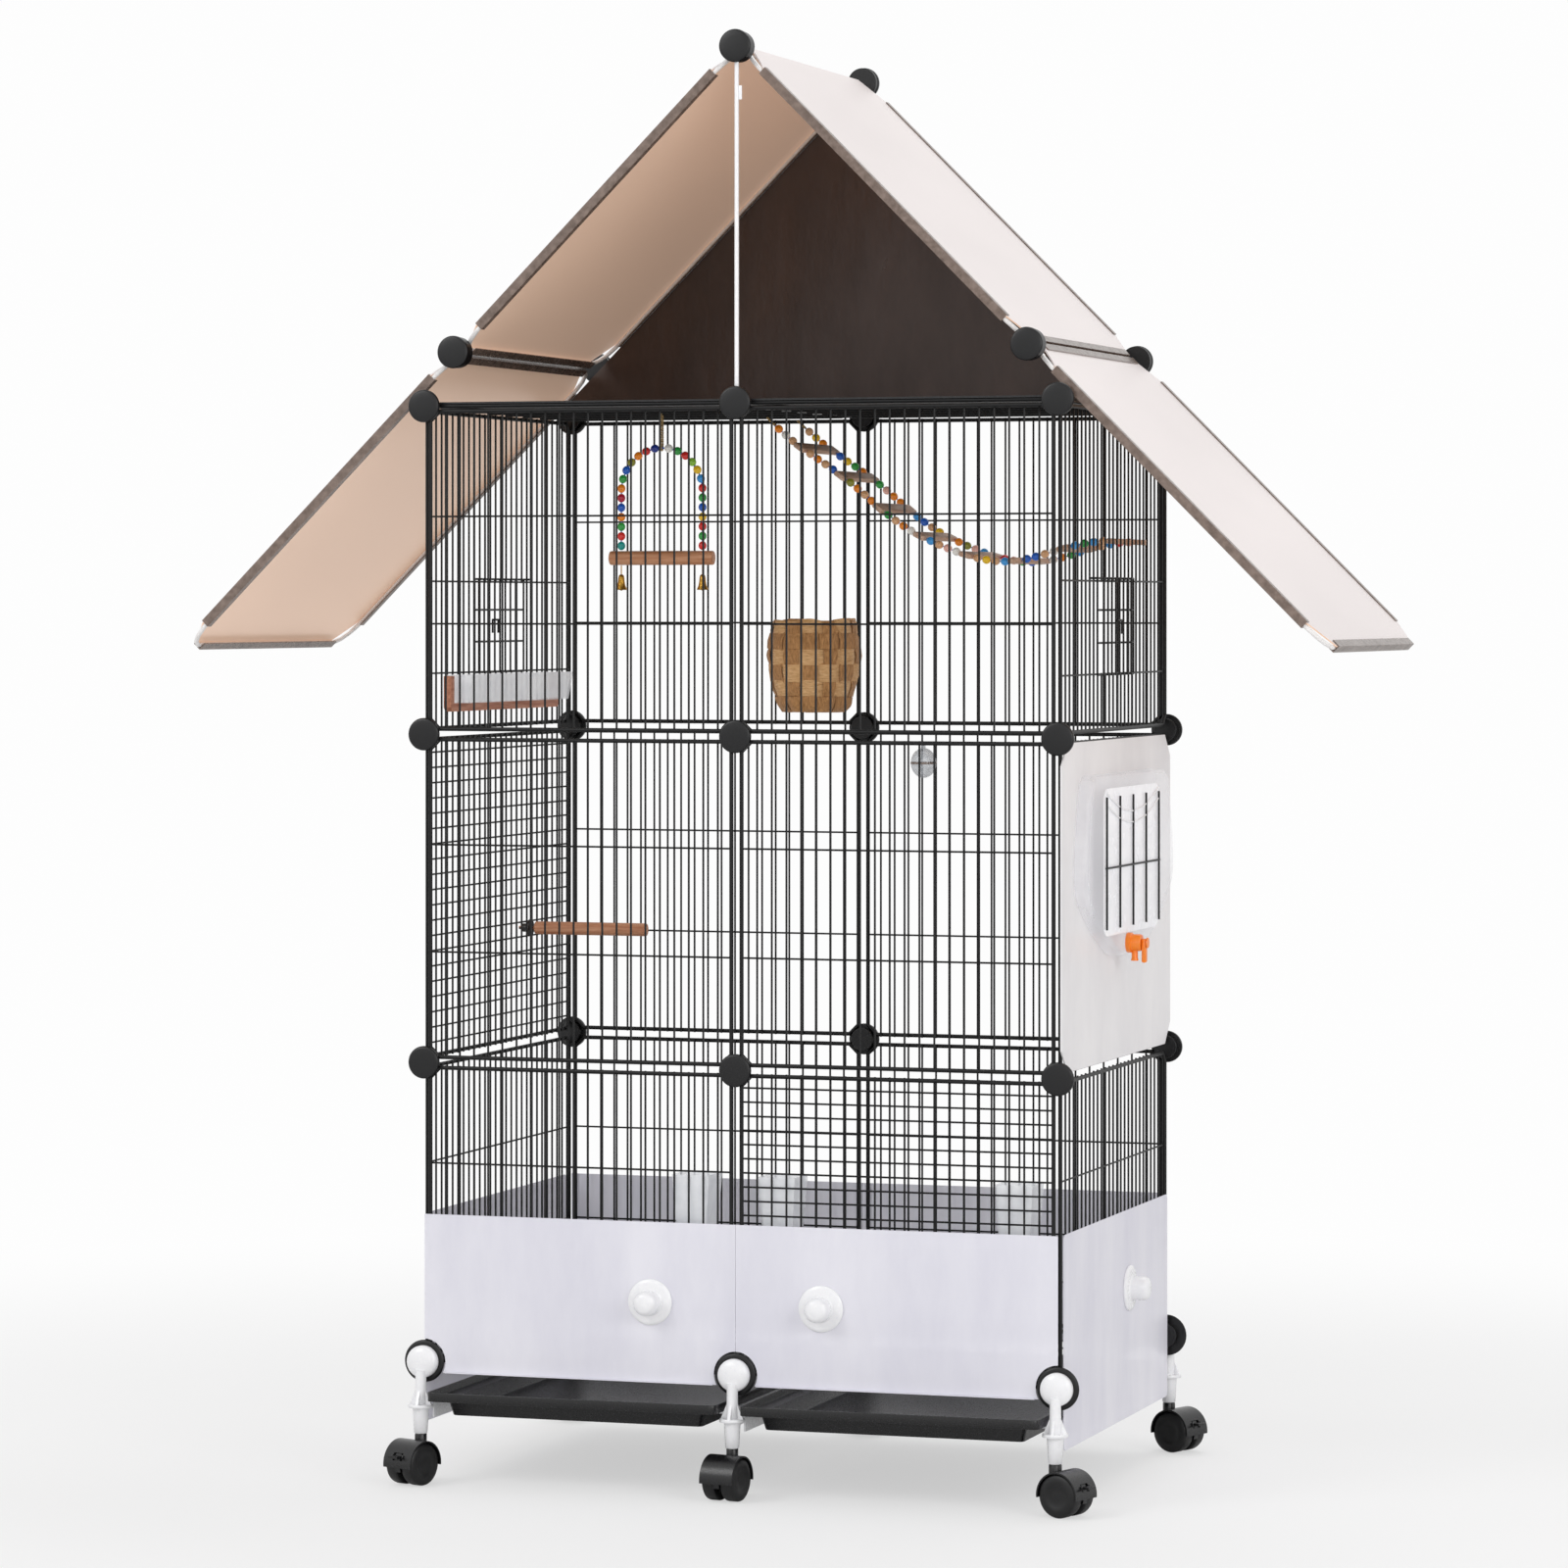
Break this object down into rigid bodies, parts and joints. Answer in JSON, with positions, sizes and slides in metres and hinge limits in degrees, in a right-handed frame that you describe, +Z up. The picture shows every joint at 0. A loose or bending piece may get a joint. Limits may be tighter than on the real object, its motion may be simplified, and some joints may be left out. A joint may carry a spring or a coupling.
{
  "type": "bird cage",
  "caption": "Tall wire-panel bird cage with a gable roof, storage attic, lift doors, slide-out trays, swing, ladder, nest and swivel castors.",
  "frame": {"origin": "middle of the cage at floor level, under the centre of its bounding box", "axes": "+X to the cage's right as seen from the front, +Y to the back, +Z up"},
  "size_m": [1.2976, 0.5738, 1.5692],
  "materials": {
    "black_wire": "satin",
    "black_plastic": "matte",
    "tray_black": "satin",
    "black_board": "matte",
    "white_wire": "satin",
    "roof_sheet": "printed sheet",
    "clip_strip": "translucent",
    "gable_sheet": "dark sheet",
    "white_plastic": "gloss",
    "clear_guard": "translucent",
    "grey_sheet": "translucent",
    "clear_plastic": "clear",
    "orange_plastic": "gloss",
    "cord": "twisted jute",
    "beads": "painted, many colours",
    "brass": "polished",
    "wood": "natural",
    "woven_leaf": "woven",
    "castor_black": "satin",
    "wheel_black": "matte"
  },
  "bodies": {
    "cage": {"front_panels": "black_wire", "back_panels": "black_wire", "side_panels": "black_wire", "left_mesh_panel": "black_wire", "left_door_panel": "black_wire", "right_door_panel": "black_wire", "floor_panels": "black_wire", "shelf_frames": "black_wire", "shelf_boards": "black_board", "corner_connectors": "black_plastic", "roof_connectors": "black_plastic", "roof_frames": "white_wire", "left_roof_sheet": "roof_sheet", "left_awning_sheet": "roof_sheet", "right_roof_sheet": "roof_sheet", "right_awning_sheet": "roof_sheet", "roof_clip_strips": "clip_strip", "gable_sheet": "gable_sheet", "centre_post": "white_plastic", "legs": "white_plastic", "tray_runners": "white_plastic", "spill_guards": "clear_guard", "guard_knobs": "white_plastic", "side_sheet": "grey_sheet", "water_tank": "clear_plastic", "tank_guard_wires": "black_wire", "tap_body": "orange_plastic", "ladder_slats": "wood", "ladder_beads": "beads", "nest": "woven_leaf", "perch": "wood", "perch_nut": "black_plastic", "trough": "clear_plastic", "trough_cradle": "wood", "feeder_cups": "clear_plastic", "treat_ball": "clear_plastic"},
    "left_tray": {"left_tray": "tray_black"},
    "right_tray": {"right_tray": "tray_black"},
    "left_door": {"left_door": "black_wire"},
    "right_door": {"right_door": "black_wire"},
    "tap_lever": {"tap_lever": "orange_plastic"},
    "swing_loop": {"swing_loop": "cord"},
    "swing": {"swing": "beads"},
    "left_bell": {"left_bell": "brass"},
    "right_bell": {"right_bell": "brass"},
    "castor_front_left": {"castor_front_left": "castor_black"},
    "wheels_front_left": {"wheels_front_left": "wheel_black"},
    "brake_lever_front_left": {"brake_lever_front_left": "castor_black"},
    "castor_front_middle": {"castor_front_middle": "castor_black"},
    "wheels_front_middle": {"wheels_front_middle": "wheel_black"},
    "castor_front_right": {"castor_front_right": "castor_black"},
    "wheels_front_right": {"wheels_front_right": "wheel_black"},
    "brake_lever_front_right": {"brake_lever_front_right": "castor_black"},
    "castor_back_right": {"castor_back_right": "castor_black"},
    "wheels_back_right": {"wheels_back_right": "wheel_black"},
    "brake_lever_back_right": {"brake_lever_back_right": "castor_black"},
    "castor_back_middle": {"castor_back_middle": "castor_black"},
    "wheels_back_middle": {"wheels_back_middle": "wheel_black"},
    "castor_back_left": {"castor_back_left": "castor_black"},
    "wheels_back_left": {"wheels_back_left": "wheel_black"}
  },
  "joints": [
    {"name": "front_left_swivel", "type": "hinge", "parent": "cage", "child": "castor_front_left", "pos_m": [-0.357, -0.2425, 0.07], "axis": [0, 0, 1], "continuous": true},
    {"name": "front_left_roll", "type": "hinge", "parent": "castor_front_left", "child": "wheels_front_left", "pos_m": [-0.36179, -0.25566, 0.023], "axis": [-0.9397, 0.342, 0], "continuous": true},
    {"name": "front_left_brake", "type": "hinge", "parent": "castor_front_left", "child": "brake_lever_front_left", "pos_m": [-0.36999, -0.27818, 0.03268], "axis": [0.9397, -0.342, 0], "range_deg": [0, 20]},
    {"name": "front_middle_swivel", "type": "hinge", "parent": "cage", "child": "castor_front_middle", "pos_m": [0, -0.2425, 0.07], "axis": [0, 0, 1], "continuous": true},
    {"name": "front_middle_roll", "type": "hinge", "parent": "castor_front_middle", "child": "wheels_front_middle", "pos_m": [-0.00219, -0.25633, 0.023], "axis": [-0.9877, 0.1564, 0], "continuous": true},
    {"name": "front_right_swivel", "type": "hinge", "parent": "cage", "child": "castor_front_right", "pos_m": [0.357, -0.2425, 0.07], "axis": [0, 0, 1], "continuous": true},
    {"name": "front_right_roll", "type": "hinge", "parent": "castor_front_right", "child": "wheels_front_right", "pos_m": [0.37024, -0.24706, 0.023], "axis": [-0.3256, -0.9455, 0], "continuous": true},
    {"name": "front_right_brake", "type": "hinge", "parent": "castor_front_right", "child": "brake_lever_front_right", "pos_m": [0.3929, -0.25486, 0.03268], "axis": [0.3256, 0.9455, 0], "range_deg": [0, 20]},
    {"name": "back_right_swivel", "type": "hinge", "parent": "cage", "child": "castor_back_right", "pos_m": [0.357, 0.2425, 0.07], "axis": [0, 0, 1], "continuous": true},
    {"name": "back_right_roll", "type": "hinge", "parent": "castor_back_right", "child": "wheels_back_right", "pos_m": [0.36998, 0.23726, 0.023], "axis": [-0.3746, -0.9272, 0], "continuous": true},
    {"name": "back_right_brake", "type": "hinge", "parent": "castor_back_right", "child": "brake_lever_back_right", "pos_m": [0.3922, 0.22828, 0.03268], "axis": [0.3746, 0.9272, 0], "range_deg": [0, 20]},
    {"name": "back_middle_swivel", "type": "hinge", "parent": "cage", "child": "castor_back_middle", "pos_m": [0, 0.2425, 0.07], "axis": [0, 0, 1], "continuous": true},
    {"name": "back_middle_roll", "type": "hinge", "parent": "castor_back_middle", "child": "wheels_back_middle", "pos_m": [-0.00219, 0.25633, 0.023], "axis": [0.9877, 0.1564, 0], "continuous": true},
    {"name": "back_left_swivel", "type": "hinge", "parent": "cage", "child": "castor_back_left", "pos_m": [-0.357, 0.2425, 0.07], "axis": [0, 0, 1], "continuous": true},
    {"name": "back_left_roll", "type": "hinge", "parent": "castor_back_left", "child": "wheels_back_left", "pos_m": [-0.36179, 0.25566, 0.023], "axis": [0.9397, 0.342, 0], "continuous": true},
    {"name": "left_tray_slide", "type": "slide", "parent": "cage", "child": "left_tray", "axis": [0, -1, 0], "range_m": [0, 0.4]},
    {"name": "right_tray_slide", "type": "slide", "parent": "cage", "child": "right_tray", "axis": [0, -1, 0], "range_m": [0, 0.4]},
    {"name": "left_door_lift", "type": "slide", "parent": "cage", "child": "left_door", "axis": [0, 0, 1], "range_m": [0, 0.09]},
    {"name": "right_door_lift", "type": "slide", "parent": "cage", "child": "right_door", "axis": [0, 0, 1], "range_m": [0, 0.09]},
    {"name": "tap_turn", "type": "hinge", "parent": "cage", "child": "tap_lever", "pos_m": [0.39645, -0.022, 0.588], "axis": [1, 0, 0], "range_deg": [0, 90]},
    {"name": "loop_sway", "type": "hinge", "parent": "cage", "child": "swing_loop", "pos_m": [-0.1645, 0, 1.1666], "axis": [1, 0, 0], "range_deg": [-25, 25]},
    {"name": "swing_sway", "type": "hinge", "parent": "swing_loop", "child": "swing", "pos_m": [-0.1645, 0, 1.129], "axis": [0, 1, 0], "range_deg": [-15, 15]},
    {"name": "left_bell_sway", "type": "hinge", "parent": "swing", "child": "left_bell", "pos_m": [-0.2125, 0, 0.9978], "axis": [1, 0, 0], "range_deg": [-20, 20]},
    {"name": "right_bell_sway", "type": "hinge", "parent": "swing", "child": "right_bell", "pos_m": [-0.1165, 0, 0.9978], "axis": [1, 0, 0], "range_deg": [-20, 20]}
  ]
}
